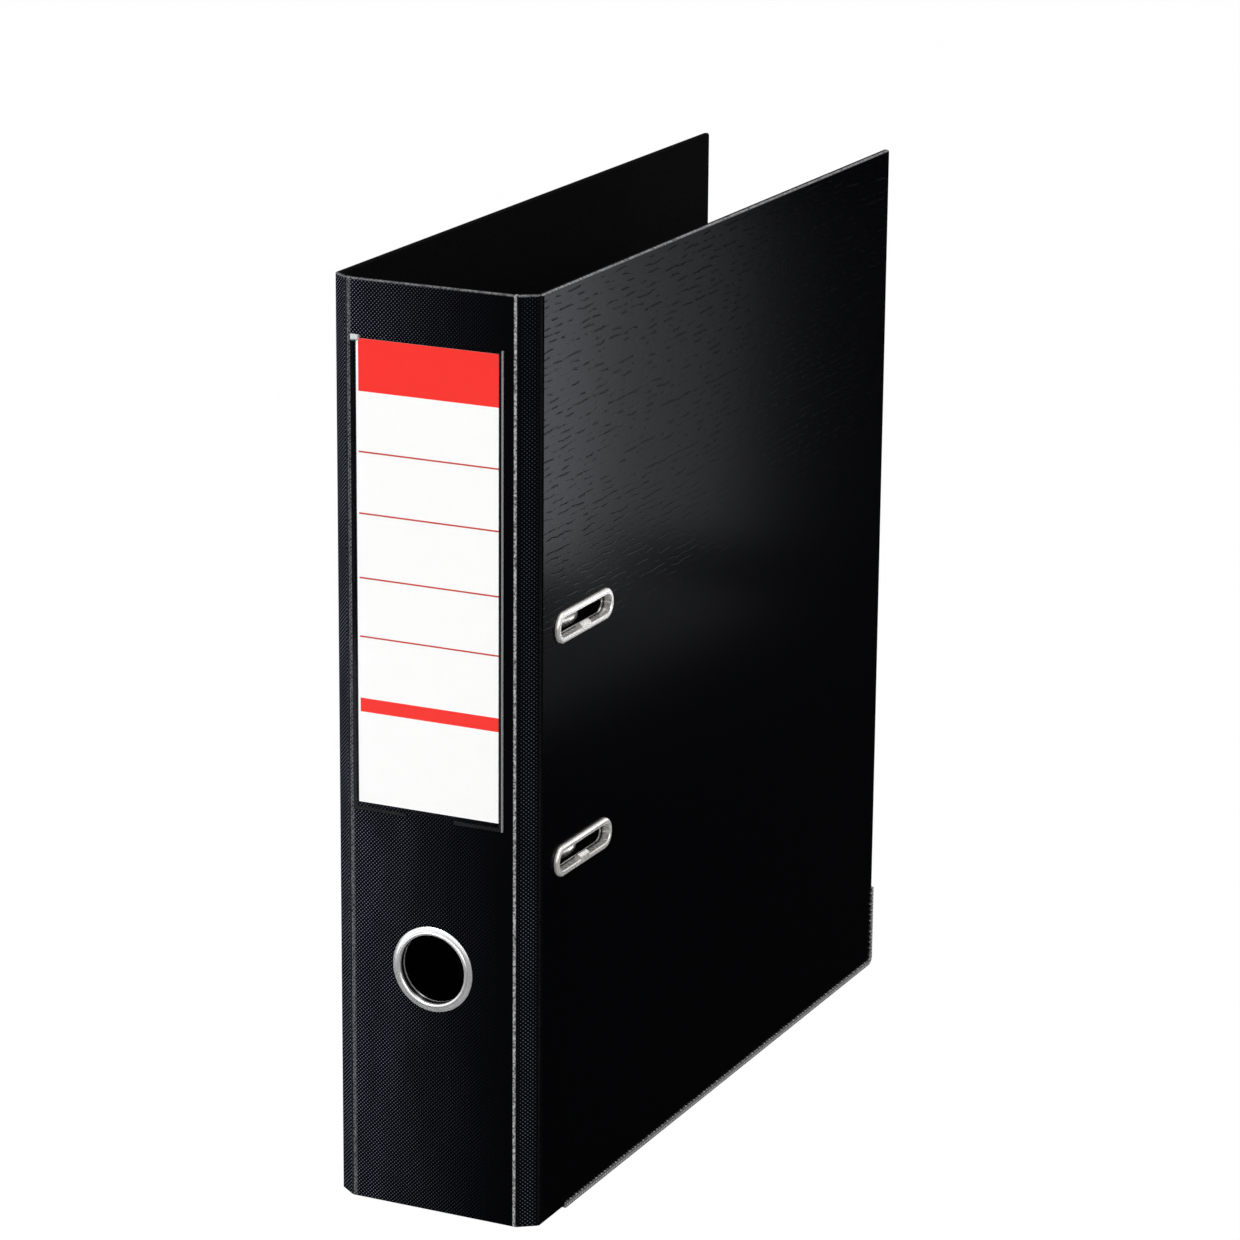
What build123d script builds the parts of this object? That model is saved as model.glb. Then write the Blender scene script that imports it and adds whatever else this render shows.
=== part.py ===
"""A4 lever arch file: creased board case with a two-arch mechanism on its back cover.

Frame: +Z up, spine faces -Y, front cover faces +X. The origin is the bottom centre of the closed case.
"""
import os

from build123d import *

# ---- case ------------------------------------------------------------------------------------
HEIGHT = 318.0              # closed case, bottom of the metal edge guards to the top of the boards
CASE_WIDTH = 75.0           # spine width over the outer faces of the two covers
BOARD_DEPTH = 290.0         # outer face of the spine to the fore-edge of a cover
BOARD_T = 2.2               # grey board with its foil
EDGE_ROUND = 0.7            # wrapped board edges
TOP_CORNER_R = 1.0          # upper outer corners of the covers
FOOT_CORNER_R = 2.5         # lower outer corners, inside the guards
CREASE_IN_X = 6.5           # spine crease, measured in from a cover's outer face
CREASE_IN_Y = 4.75          # cover crease, measured back from the spine's outer face
CREASE_GAP = 0.06           # half of the slit between two boards at the inner end of a crease

# ---- edge guards -----------------------------------------------------------------------------
GUARD_T = 0.5               # pressed steel strip
GUARD_LEG = 2.0             # height of the leg that shows on a cover
GUARD_START = 23.6          # start of the strip, from the spine's outer face
GUARD_RISE = 31.0           # height of the turned-up end at the fore-edge
GUARD_TOOTH = 2.2           # pitch of the pinked edge
GUARD_TOOTH_DEPTH = 0.7

# ---- finger ring -----------------------------------------------------------------------------
RING_Z = 87.0
RING_HOLE_R = 12.0
RING_FLANGE_R = 14.8
RING_PROUD = 0.9            # height of the flange over the spine
RING_LIP_R = 13.3           # rolled lip, raised over the sloping flange
METAL_T = 0.5               # wall of the eyelets
SIDE_PROUD = 1.3            # height of slot flanges and rivet heads over the covers
WASHER_T = 0.3
LIP_T = 0.3                 # eyelet metal rolled over the washer
LIP_W = 1.0

# ---- slots in the front cover ----------------------------------------------------------------
SLOT_Y = 35.4               # slot centre, from the spine's outer face
SLOT_CENTRE_Z = 165.0       # halfway between the two slots
HOLE_PITCH = 80.0           # standard distance of the two filing holes
SLOT_L = 37.8               # clear length
SLOT_H = 6.7                # clear height
SLOT_FLANGE_W = 2.0
FLANGE_ROUND = 0.9          # outer edge of a slot flange
MOUTH_CHAMFER = 0.25        # inner edge of a slot flange
NIB_L = 6.5                 # catch on the lower side of a slot
NIB_REACH = 1.6             # how far the catch stands into the slot
NIB_ROOT = 0.3              # catch inside the wall that carries it

# ---- label -----------------------------------------------------------------------------------
POCKET_X = (-28.9, 26.2)
POCKET_Z = (139.0, 299.6)
POCKET_FILM_T = 0.2
POCKET_GAP = 0.4            # room for the card
POCKET_WELD = 1.3
POCKET_GAP_X = (-9.4, 8.2)  # unwelded stretch of the bottom edge
LABEL_X = (-27.0, 24.6)
LABEL_Z = (141.8, 298.4)
LABEL_T = 0.3

# ---- lever arch mechanism --------------------------------------------------------------------
MECH_Z = 162.5              # middle of the mechanism
WIRE_R = 2.0                # arch wire
SPINDLE_LIFT = 0.6          # spindle wire over the plate
SPINDLE_Y = 24.0            # spindle, from the spine's outer face
POST_Y = 53.0               # posts, from the spine's outer face
CREST_X = 30.8              # centre of the wire at the top of an arch
ARCH_LEAN = 4.0             # the spine-side leg leans this far towards the posts
SHOULDER_R = 16.8           # bend over the posts
CORNER_BEND_R = 8.0         # bend over the spindle side
FOOT_BEND_R = 5.0           # bend from a leg into the spindle
CRANK_REACH = 14.0          # crank of the spindle, under the lever's roller
CRANK_Z = (7.0, 19.5)       # crank, above the middle of the mechanism
CRANK_BEND_R = 3.0
PLATE_T = 0.8
PLATE_HALF_L = 62.0
PLATE_Y = (14.0, 61.0)
PLATE_CORNER_R = 6.0
RIB_Y = 17.2                # stiffening rib, from the spine's outer face
RIB_R = 1.5
RIB_HALF_L = 49.0
RIB_RISE = 0.9
POST_R = 2.5
POST_BORE_R = 1.9
POST_TOP_X = 6.0
PEG_L = 1.15                # cone at the end of an arch, in the mouth of a post
PEG_R = (1.6, 0.3)
TIP_GAP = 0.3
RUNNING_CLEARANCE = 0.05
LUG_T = 0.8
LUG_L = 6.0
LUG_Z = (-31.0, -4.0, 31.0)
COLLAR_T = 1.2              # flange at the foot of a post
POST_FLOOR = 2.0            # closed foot of a post
PIVOT_RISE = 9.0            # lever pivot over the inner face of the back cover
PIVOT_Z = 28.0              # lever pivot above the middle of the mechanism
LEVER_Y = 36.5              # middle of the lever, from the spine's outer face
LEVER_W = 12.0
LEVER_TIP_W = 9.0
LEVER_NECK = 26.0           # start of the taper, from the pivot
LEVER_FLARE = 9.0           # length of the turned-up tip
LEVER_FLARE_RISE = 1.9
LEVER_WALL = 1.0
LEVER_ROUND = 0.8
CHEEK_R = 4.0               # round cheeks at the pivot
CHEEK_DROP = 2.2            # cheeks reach this far below the pivot
LEVER_L = 57.0              # pivot to tip
LEVER_TOP = 5.3             # web of the lever over its pivot
PIVOT_PIN_R = 1.6
PIN_HEAD_R = 2.4
PIN_HEAD_T = 0.7
ROLLER_R = 3.4
ROLLER_L = 9.0
ROLLER_CHAMFER = 0.5
ROLLER_PIN_R = 1.3
ROLLER_BACK = 13.6          # roller, from the pivot along the lever
ROLLER_PIN_OVER = 0.2
EAR_T = 1.2
EAR_GAP = 0.3
EAR_HALF_W = 4.8
RIVET_Z = 56.0
RIVET_Y = (19.5, 55.5)
RIVET_HEAD_R = 4.5
RIVET_SHANK_R = 2.0
RIVET_INNER_R = 3.2
RIVET_HEAD_CHAMFER = 1.0
CLINCH_T = 0.8
CLINCH_CHAMFER = 0.4
BAR_L = 100.0
BAR_W = 13.0
BAR_T = 1.0
BAR_LIFT = 1.5              # rest height of the bar over the plate
BAR_CORNER_R = 5.0
BAR_HOLE_R = 2.9
BEAD_RISE = 1.2
BEAD_HALF_L = 28.0
BEAD_HALF_W = 2.0
CLIP_W = 5.0
CLIP_T = 0.5
CLIP_RISE = 3.6
CLIP_NEAR = 3.2             # grip of a clip, from the centre of its post
CLIP_FAR = 9.0
CLIP_BEND = 1.0
TOOL_OVER = 1.0             # how far a cut runs past the metal

# ---- derived places --------------------------------------------------------------------------
HALF_D = (BOARD_DEPTH + RING_PROUD + GUARD_T) / 2
SPINE_Y = RING_PROUD - HALF_D                  # outer face of the spine
FORE_Y = HALF_D - GUARD_T                   # fore-edge of the boards
HALF_W = CASE_WIDTH / 2
INNER_X = HALF_W - BOARD_T                  # inner faces of the covers
BOARD_Z = GUARD_T                           # bottom edge of the boards
CREASE_X = HALF_W - CREASE_IN_X
SPINDLE_X = -INNER_X + PLATE_T + SPINDLE_LIFT + WIRE_R
PIVOT_X = -INNER_X + PIVOT_RISE
UPPER_Z = MECH_Z + HOLE_PITCH / 2
LOWER_Z = MECH_Z - HOLE_PITCH / 2
SLOT_ZS = {"upper": SLOT_CENTRE_Z + HOLE_PITCH / 2, "lower": SLOT_CENTRE_Z - HOLE_PITCH / 2}


def y_at(depth):
    """Row Y of a distance measured from the outer face of the spine."""
    return SPINE_Y + depth


def box(x, y, z):
    """Box between two corners, each axis given as (low, high)."""
    size = [b - a for a, b in (x, y, z)]
    middle = [(a + b) / 2 for a, b in (x, y, z)]
    return Pos(*middle) * Box(*size)


def rod(start, end, radius):
    """Cylinder from one point to another."""
    axis = Vector(*end) - Vector(*start)
    return Solid.make_cylinder(radius, axis.length, Plane(origin=start, z_dir=axis))


def prism(points, z0, z1):
    """Straight prism over an outline in the XY plane."""
    face = make_face(Polyline(*points, close=True))
    return Pos(0, 0, z0) * extrude(face, z1 - z0, dir=(0, 0, 1))


def prism_xz(points, y0, y1):
    """Straight prism over an outline given as (X, Z)."""
    face = Plane.XZ.offset(-y0) * make_face(Polyline(*points, close=True))
    return extrude(face, y1 - y0, dir=(0, 1, 0))


def mirror_x(shape):
    return mirror(shape, about=Plane.YZ)


# ---- boards ----------------------------------------------------------------------------------
def crease_corner(point, normal_a, normal_b, side):
    """Inner corner of a mitred crease, moved off the mitre by half of the slit."""
    bisector = (Vector(*normal_a) + Vector(*normal_b)) * (1 / (1 + Vector(*normal_a).dot(Vector(*normal_b))))
    along = Vector(*side).normalized() * CREASE_GAP
    corner = Vector(*point) + bisector * BOARD_T + along
    return (corner.X, corner.Y)


A = (CREASE_X, SPINE_Y)
B = (HALF_W, SPINE_Y + CREASE_IN_Y)
STRIP_DIR = Vector(B[0] - A[0], B[1] - A[1]).normalized()
N_SPINE = (0.0, 1.0)
N_STRIP = (-STRIP_DIR.Y, STRIP_DIR.X)
N_COVER = (-1.0, 0.0)
D_STRIP = (STRIP_DIR.X, STRIP_DIR.Y)


def outer_rim(board, normal, start=None):
    """Edges of the face that lies furthest along a direction, from a given Y on where one is named."""
    face = max(board.faces(), key=lambda f: f.center().dot(Vector(*normal)))
    return [e for e in face.edges() if start is None or e.center().Y > start]


def spine_board():
    """Spine with mitred long edges, wrapped round edges and the hole of the finger ring."""
    inner = crease_corner(A, N_SPINE, N_STRIP, (-1.0, 0.0))
    outline = [(-A[0], A[1]), A, inner, (-inner[0], inner[1])]
    board = prism(outline, BOARD_Z, HEIGHT)
    board = fillet(outer_rim(board, (0, -1, 0)), EDGE_ROUND)
    inner_ends = board.edges().filter_by(Axis.X).filter_by(lambda e: e.center().Y > SPINE_Y + BOARD_T / 2)
    board = fillet(inner_ends, EDGE_ROUND)
    hole_r = RING_HOLE_R + METAL_T
    past = TOOL_OVER
    return board - rod((0, SPINE_Y - past, RING_Z), (0, SPINE_Y + BOARD_T + past, RING_Z), hole_r)


def hinge_strip():
    """Narrow strip between the two creases of the front side, its outer edges rounded."""
    near = crease_corner(A, N_SPINE, N_STRIP, D_STRIP)
    far = crease_corner(B, N_STRIP, N_COVER, (-D_STRIP[0], -D_STRIP[1]))
    strip = prism([A, B, far, near], BOARD_Z, HEIGHT)
    return fillet(outer_rim(strip, (-N_STRIP[0], -N_STRIP[1], 0)), EDGE_ROUND)


def cover_board():
    """Front cover without its slots: wrapped edges on three sides, mitre at the crease."""
    inner = crease_corner(B, N_STRIP, N_COVER, (0.0, 1.0))
    outline = [B, (HALF_W, FORE_Y), (INNER_X, FORE_Y), inner]
    board = prism(outline, BOARD_Z, HEIGHT)
    for level, radius in ((0, FOOT_CORNER_R), (-1, TOP_CORNER_R)):
        corner = board.edges().filter_by(Axis.X).group_by(Axis.Z)[level].sort_by(Axis.Y)[-1]
        board = fillet(corner, radius)
    board = fillet(outer_rim(board, (1, 0, 0)), EDGE_ROUND)
    mitre_end = SPINE_Y + CREASE_IN_Y + BOARD_T + EDGE_ROUND
    return fillet(outer_rim(board, (-1, 0, 0), mitre_end), EDGE_ROUND)


def slot_at(x, z, length, height):
    """Face of a round-ended slot, in a plane across X."""
    return Plane(origin=(x, y_at(SLOT_Y), z), x_dir=(0, 1, 0), z_dir=(1, 0, 0)) * SlotOverall(length, height)


def slot_block(z, x0, x1, length, height):
    return extrude(slot_at(x0, z, length, height), x1 - x0, dir=(1, 0, 0))


def front_cover():
    board = cover_board()
    for z in SLOT_ZS.values():
        wall = 2 * METAL_T
        board -= slot_block(z, INNER_X - TOOL_OVER, HALF_W + TOOL_OVER, SLOT_L + wall, SLOT_H + wall)
    return board


def back_cover():
    board = mirror_x(cover_board())
    for y, z in rivet_places():
        board -= rod((-HALF_W - TOOL_OVER, y, z), (-INNER_X + TOOL_OVER, y, z), RIVET_SHANK_R)
    return board


# ---- eyelets ---------------------------------------------------------------------------------
def finger_ring():
    """Revolved eyelet: rolled flange outside, barrel through the spine, lip over the washer."""
    wall_r = RING_HOLE_R + METAL_T
    inside = SPINE_Y + BOARD_T + WASHER_T
    slope_y = SPINE_Y - RING_PROUD / 2
    slope_r = (RING_FLANGE_R + RING_LIP_R) / 2
    flange = Polyline((RING_HOLE_R, slope_y), (RING_HOLE_R, inside + LIP_T),
                      (wall_r + LIP_W, inside + LIP_T), (wall_r + LIP_W, inside), (wall_r, inside),
                      (wall_r, SPINE_Y), (RING_FLANGE_R, SPINE_Y))
    slope = ThreePointArc((RING_FLANGE_R, SPINE_Y), (slope_r, SPINE_Y - RING_PROUD / 3), (RING_LIP_R, slope_y))
    lip_mid = (RING_LIP_R + RING_HOLE_R) / 2
    lip = ThreePointArc((RING_LIP_R, slope_y), (lip_mid, SPINE_Y - RING_PROUD), (RING_HOLE_R, slope_y))
    profile = make_face(Wire([*flange.edges(), slope.edge(), lip.edge()]))
    ring = revolve(profile, Axis((0, 0, 0), (0, 1, 0)), 360)
    return Pos(0, 0, RING_Z) * ring


def finger_ring_washer():
    y0 = SPINE_Y + BOARD_T
    washer = rod((0, y0, RING_Z), (0, y0 + WASHER_T, RING_Z), RING_FLANGE_R)
    end = y0 + WASHER_T + TOOL_OVER
    return washer - rod((0, y0 - TOOL_OVER, RING_Z), (0, end, RING_Z), RING_HOLE_R + METAL_T)


def slot_eyelet(z):
    """Round-ended eyelet of a slot, with its catch on the lower side."""
    wall = 2 * METAL_T
    rim = 2 * SLOT_FLANGE_W
    inner_end = INNER_X - WASHER_T
    lip_end = inner_end - LIP_T
    top = HALF_W + SIDE_PROUD
    flange = slot_block(z, HALF_W, top, SLOT_L + rim, SLOT_H + rim)
    flange = fillet(outer_rim(flange, (1, 0, 0)), FLANGE_ROUND)
    barrel = slot_block(z, lip_end, HALF_W, SLOT_L + wall, SLOT_H + wall)
    lip = slot_block(z, lip_end, inner_end, SLOT_L + wall + 2 * LIP_W, SLOT_H + wall + 2 * LIP_W)
    opening = slot_block(z, lip_end - TOOL_OVER, top + TOOL_OVER, SLOT_L, SLOT_H)
    eyelet = flange + barrel + lip - opening
    mouth = eyelet.faces().sort_by(Axis.X)[-1].inner_wires()[0].edges()
    return chamfer(mouth, MOUTH_CHAMFER) + slot_catch(z)


def slot_catch(z):
    """Raised tongue on the lower side of a slot that steadies the closed cover on the arch."""
    low = z - SLOT_H / 2
    root = low - NIB_ROOT
    crest = low + NIB_REACH
    outline = [(HALF_W + SIDE_PROUD / 2, root), (HALF_W + SIDE_PROUD, root),
               (HALF_W + SIDE_PROUD, (low + crest) / 2), (HALF_W, crest),
               ((HALF_W + INNER_X) / 2, (low + crest) / 2), (INNER_X, root)]
    return prism_xz(outline, y_at(SLOT_Y) - NIB_L / 2, y_at(SLOT_Y) + NIB_L / 2)


def slot_washer(z):
    outer = 2 * SLOT_FLANGE_W
    wall = 2 * METAL_T
    washer = slot_block(z, INNER_X - WASHER_T, INNER_X, SLOT_L + outer, SLOT_H + outer)
    return washer - slot_block(z, INNER_X - TOOL_OVER, INNER_X + TOOL_OVER, SLOT_L + wall, SLOT_H + wall)


# ---- edge guards -----------------------------------------------------------------------------
def pinked_edge(start, end, z):
    """Points of a zigzag edge from one Y to another, teeth up."""
    teeth = round(abs(end - start) / GUARD_TOOTH)
    step = (end - start) / (2 * teeth)
    rise = [0.0, -GUARD_TOOTH_DEPTH]
    return [(start + i * step, z + rise[i % 2]) for i in range(2 * teeth + 1)]


def guard_leg_outline():
    """L-shaped leg of a guard seen from the side, as (Y, Z), with both inner edges pinked."""
    start = y_at(GUARD_START)
    inner_y = FORE_Y + GUARD_T - GUARD_LEG
    along = pinked_edge(inner_y, start, GUARD_LEG)
    up = [(y, z) for z, y in pinked_edge(GUARD_RISE, GUARD_LEG + GUARD_TOOTH, 0)]
    rise = [(inner_y - y, z) for y, z in up]
    return [(start, 0), (FORE_Y + GUARD_T, 0), (FORE_Y + GUARD_T, GUARD_RISE), *rise, *along]


def front_guard():
    """Steel strip pressed over the bottom edge of a cover and turned up its fore-edge."""
    points = guard_leg_outline()
    x0 = INNER_X - GUARD_T
    face = Plane.YZ.offset(x0) * make_face(Polyline(*points, close=True))
    solid = extrude(face, BOARD_T + 2 * GUARD_T, dir=(1, 0, 0))
    corner = solid.edges().filter_by(Axis.X).group_by(Axis.Z)[0].sort_by(Axis.Y)[-1]
    solid = fillet(corner, FOOT_CORNER_R + GUARD_T)
    return solid - cover_core()


def cover_core():
    """Room of the cover inside its guard."""
    core = box((INNER_X, HALF_W), (SPINE_Y, FORE_Y), (BOARD_Z, HEIGHT))
    corner = core.edges().filter_by(Axis.X).group_by(Axis.Z)[0].sort_by(Axis.Y)[-1]
    return fillet(corner, FOOT_CORNER_R)


# ---- label -----------------------------------------------------------------------------------
def label_pocket():
    """Clear film welded to the spine at both sides and along two stretches of the bottom, open at the top."""
    depth = POCKET_GAP + POCKET_FILM_T
    low, high = POCKET_Z
    weld = POCKET_WELD
    left, right = POCKET_X
    film = box(POCKET_X, (SPINE_Y - depth, SPINE_Y), (low, high))
    inner = (left + weld, right - weld)
    room = box(inner, (SPINE_Y - POCKET_GAP, SPINE_Y + TOOL_OVER), (low + weld, high + TOOL_OVER))
    gap = box(POCKET_GAP_X, (SPINE_Y - depth - TOOL_OVER, SPINE_Y + TOOL_OVER), (low - TOOL_OVER, low + weld))
    return film - room - gap


def spine_label():
    middle = SPINE_Y - POCKET_GAP / 2
    return box(LABEL_X, (middle - LABEL_T / 2, middle + LABEL_T / 2), LABEL_Z)


# ---- mechanism -------------------------------------------------------------------------------
def rivet_places():
    return [(y_at(depth), MECH_Z + side * RIVET_Z) for depth in RIVET_Y for side in (-1, 1)]


def plate_top():
    return -INNER_X + PLATE_T


def bearing_lug(z):
    """Strap pressed up from the plate and bent round the spindle."""
    inner_r = WIRE_R + RUNNING_CLEARANCE
    outer_r = inner_r + LUG_T
    y = y_at(SPINDLE_Y)
    z0 = z - LUG_L / 2
    z1 = z + LUG_L / 2
    loop = rod((SPINDLE_X, y, z0), (SPINDLE_X, y, z1), outer_r)
    foot = box((plate_top(), SPINDLE_X), (y - outer_r, y + outer_r), (z0, z1))
    return loop + foot - rod((SPINDLE_X, y, z0 - TOOL_OVER), (SPINDLE_X, y, z1 + TOOL_OVER), inner_r)


def ear(y0):
    """Upturned ear that carries the lever pivot."""
    z = MECH_Z + PIVOT_Z
    stem = box((plate_top(), PIVOT_X), (y0, y0 + EAR_T), (z - EAR_HALF_W, z + EAR_HALF_W))
    top = rod((PIVOT_X, y0, z), (PIVOT_X, y0 + EAR_T, z), EAR_HALF_W)
    hole = rod((PIVOT_X, y0 - TOOL_OVER, z), (PIVOT_X, y0 + EAR_T + TOOL_OVER, z), PIVOT_PIN_R)
    return stem + top - hole


def plate_rib():
    """Round-ended rib pressed up along the spine side of the plate."""
    ends = Plane(origin=(plate_top(), y_at(RIB_Y), MECH_Z), x_dir=(0, 0, 1), z_dir=(1, 0, 0))
    rib = extrude(ends * SlotOverall(2 * RIB_HALF_L, 2 * RIB_R), RIB_RISE, dir=(1, 0, 0))
    return chamfer(outer_rim(rib, (1, 0, 0)), RIB_RISE / 2)


def base_plate():
    """Pressed plate with a stiffening rib, bearing lugs and lever ears."""
    y = (y_at(PLATE_Y[0]), y_at(PLATE_Y[1]))
    plate = box((-INNER_X, plate_top()), y, (MECH_Z - PLATE_HALF_L, MECH_Z + PLATE_HALF_L))
    plate = fillet(plate.edges().filter_by(Axis.X), PLATE_CORNER_R)
    holes = [(y_at(POST_Y), z, POST_R) for z in (UPPER_Z, LOWER_Z)]
    holes += [(*place, RIVET_SHANK_R) for place in rivet_places()]
    for hole_y, z, r in holes:
        plate -= rod((-INNER_X - TOOL_OVER, hole_y, z), (plate_top() + TOOL_OVER, hole_y, z), r)
    plate += plate_rib()
    for z in LUG_Z:
        plate += bearing_lug(MECH_Z + z)
    half = LEVER_W / 2 + EAR_GAP
    middle = y_at(LEVER_Y)
    plate += ear(middle - half - EAR_T)
    plate += ear(middle + half)
    return plate


def post(z):
    """Tube riveted in the plate, with an open mouth for the end of the arch."""
    y = y_at(POST_Y)
    tube = rod((-INNER_X, y, z), (POST_TOP_X, y, z), POST_R)
    collar = rod((plate_top(), y, z), (plate_top() + COLLAR_T, y, z), POST_R + COLLAR_T)
    bore = rod((-INNER_X + POST_FLOOR, y, z), (POST_TOP_X + TOOL_OVER, y, z), POST_BORE_R)
    return tube + collar - bore


def mechanism_rivets():
    """Four rivets through plate and cover: domed heads outside, clinched ends inside."""
    rivets = []
    for y, z in rivet_places():
        head = rod((-HALF_W - SIDE_PROUD, y, z), (-HALF_W, y, z), RIVET_HEAD_R)
        head = chamfer(head.edges().sort_by(Axis.X)[0], RIVET_HEAD_CHAMFER)
        shank = rod((-HALF_W, y, z), (plate_top(), y, z), RIVET_SHANK_R)
        clinch = rod((plate_top(), y, z), (plate_top() + CLINCH_T, y, z), RIVET_INNER_R)
        clinch = chamfer(clinch.edges().sort_by(Axis.X)[-1], CLINCH_CHAMFER)
        rivets.append(head + shank + clinch)
    return Compound(children=rivets)


def arch_wire():
    """One bent wire: two arches, the spindle between them and its crank."""
    post_y = y_at(POST_Y)
    spin_y = y_at(SPINDLE_Y)
    lean_y = spin_y + ARCH_LEAN
    end_x = POST_TOP_X + TIP_GAP
    crank_y = spin_y + CRANK_REACH
    crank_z = [MECH_Z + z for z in CRANK_Z]

    def arch(z):
        return [(end_x, post_y, z), (CREST_X, post_y, z), (CREST_X, lean_y, z), (SPINDLE_X, spin_y, z)]

    crank = [(SPINDLE_X, spin_y, crank_z[1]), (SPINDLE_X, crank_y, crank_z[1]),
             (SPINDLE_X, crank_y, crank_z[0]), (SPINDLE_X, spin_y, crank_z[0])]
    bends = [SHOULDER_R, CORNER_BEND_R, FOOT_BEND_R]
    radii = bends + [CRANK_BEND_R] * 4 + bends[::-1]
    line = FilletPolyline(*arch(UPPER_Z), *crank, *arch(LOWER_Z)[::-1], radius=radii)
    section = Plane(origin=line @ 0, z_dir=line % 0) * Circle(WIRE_R)
    wire = sweep(section, path=line)
    for z in (UPPER_Z, LOWER_Z):
        cone = Solid.make_cone(PEG_R[0], PEG_R[1], PEG_L, Plane(origin=(end_x, post_y, z), z_dir=(-1, 0, 0)))
        wire += cone
    return wire


def lever_plan(inset):
    """Block over the lever's outline from above: straight at the pivot, narrower towards a round tip."""
    z = MECH_Z + PIVOT_Z
    half = LEVER_W / 2 - inset
    tip_half = LEVER_TIP_W / 2 - inset
    tip_z = z - LEVER_L + inset
    top = z + CHEEK_R + inset
    sides = Polyline((tip_half, tip_z + tip_half), (half, z - LEVER_NECK), (half, top), (-half, top),
                     (-half, z - LEVER_NECK), (-tip_half, tip_z + tip_half))
    tip = ThreePointArc((-tip_half, tip_z + tip_half), (0, tip_z), (tip_half, tip_z + tip_half))
    face = Plane.YZ.offset(-INNER_X) * Pos(y_at(LEVER_Y), 0) * make_face(sides.edges() + tip.edges())
    return extrude(face, 2 * INNER_X, dir=(1, 0, 0))


def lever():
    """Pressed channel: round pivot cheeks, walls that run out along the handle, and a turned-up tip."""
    z = MECH_Z + PIVOT_Z
    y = y_at(LEVER_Y)
    web_x = PIVOT_X + LEVER_TOP
    under_x = web_x - LEVER_WALL
    tip_z = z - LEVER_L
    flare_z = tip_z + LEVER_FLARE
    top = z + CHEEK_R
    side = [(PIVOT_X, top), (web_x, top), (web_x, flare_z), (web_x + LEVER_FLARE_RISE, tip_z),
            (under_x + LEVER_FLARE_RISE, tip_z), (under_x, flare_z),
            (PIVOT_X - CHEEK_DROP, z - ROLLER_BACK - CHEEK_R), (PIVOT_X - CHEEK_DROP, z)]
    body = prism_xz(side, y - LEVER_W / 2, y + LEVER_W / 2)
    body += rod((PIVOT_X, y - LEVER_W / 2, z), (PIVOT_X, y + LEVER_W / 2, z), CHEEK_R)
    body &= lever_plan(0)
    web = body.faces().filter_by(Axis.X).sort_by(Axis.X)[-1]
    body = fillet([e for e in web.edges() if abs(e.center().Y - y) > LEVER_TIP_W / 4], LEVER_ROUND)
    room = prism_xz([(PIVOT_X - CHEEK_R - CHEEK_DROP, top + TOOL_OVER), (under_x, top + TOOL_OVER),
                     (under_x, tip_z), (PIVOT_X - CHEEK_R - CHEEK_DROP, tip_z)], y - LEVER_W, y + LEVER_W)
    body -= room & lever_plan(LEVER_WALL)
    for x, hole_z, r in lever_holes():
        body -= rod((x, y - LEVER_W, hole_z), (x, y + LEVER_W, hole_z), r)
    return body


def roller_x():
    """Roller axis: the roller clears the crank by the gap between curved faces."""
    return SPINDLE_X + WIRE_R + TIP_GAP + ROLLER_R


def lever_holes():
    z = MECH_Z + PIVOT_Z
    return [(PIVOT_X, z, PIVOT_PIN_R + RUNNING_CLEARANCE), (roller_x(), z - ROLLER_BACK, ROLLER_PIN_R)]


def lever_pin():
    half = LEVER_W / 2 + EAR_GAP + EAR_T
    z = MECH_Z + PIVOT_Z
    y = y_at(LEVER_Y)
    pin = rod((PIVOT_X, y - half, z), (PIVOT_X, y + half, z), PIVOT_PIN_R)
    for side in (-1, 1):
        start = y + side * half
        pin += rod((PIVOT_X, start, z), (PIVOT_X, start + side * PIN_HEAD_T, z), PIN_HEAD_R)
    return pin


def roller_pin():
    y = y_at(LEVER_Y)
    z = MECH_Z + PIVOT_Z - ROLLER_BACK
    half = LEVER_W / 2 + ROLLER_PIN_OVER
    return rod((roller_x(), y - half, z), (roller_x(), y + half, z), ROLLER_PIN_R)


def roller():
    y = y_at(LEVER_Y)
    z = MECH_Z + PIVOT_Z - ROLLER_BACK
    body = rod((roller_x(), y - ROLLER_L / 2, z), (roller_x(), y + ROLLER_L / 2, z), ROLLER_R)
    body = chamfer(body.edges().filter_by(GeomType.CIRCLE), ROLLER_CHAMFER)
    return body - rod((roller_x(), y - ROLLER_L, z), (roller_x(), y + ROLLER_L, z),
                      ROLLER_PIN_R + RUNNING_CLEARANCE)


def bar_top():
    return plate_top() + BAR_LIFT + BAR_T


def compressor_bar():
    """Pressed bar over both posts, with a stiffening bead between them."""
    y = y_at(POST_Y)
    x0 = bar_top() - BAR_T
    bar = box((x0, bar_top()), (y - BAR_W / 2, y + BAR_W / 2), (MECH_Z - BAR_L / 2, MECH_Z + BAR_L / 2))
    bar = fillet(bar.edges().filter_by(Axis.X), BAR_CORNER_R)
    ends = Plane(origin=(bar_top(), y, MECH_Z), x_dir=(0, 0, 1), z_dir=(1, 0, 0))
    bead = extrude(ends * SlotOverall(2 * BEAD_HALF_L, 2 * BEAD_HALF_W), BEAD_RISE, dir=(1, 0, 0))
    bar += chamfer(outer_rim(bead, (1, 0, 0)), BEAD_RISE / 2)
    for z in (UPPER_Z, LOWER_Z):
        bar -= rod((x0 - TOOL_OVER, y, z), (bar_top() + TOOL_OVER, y, z), BAR_HOLE_R)
    return bar


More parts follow.
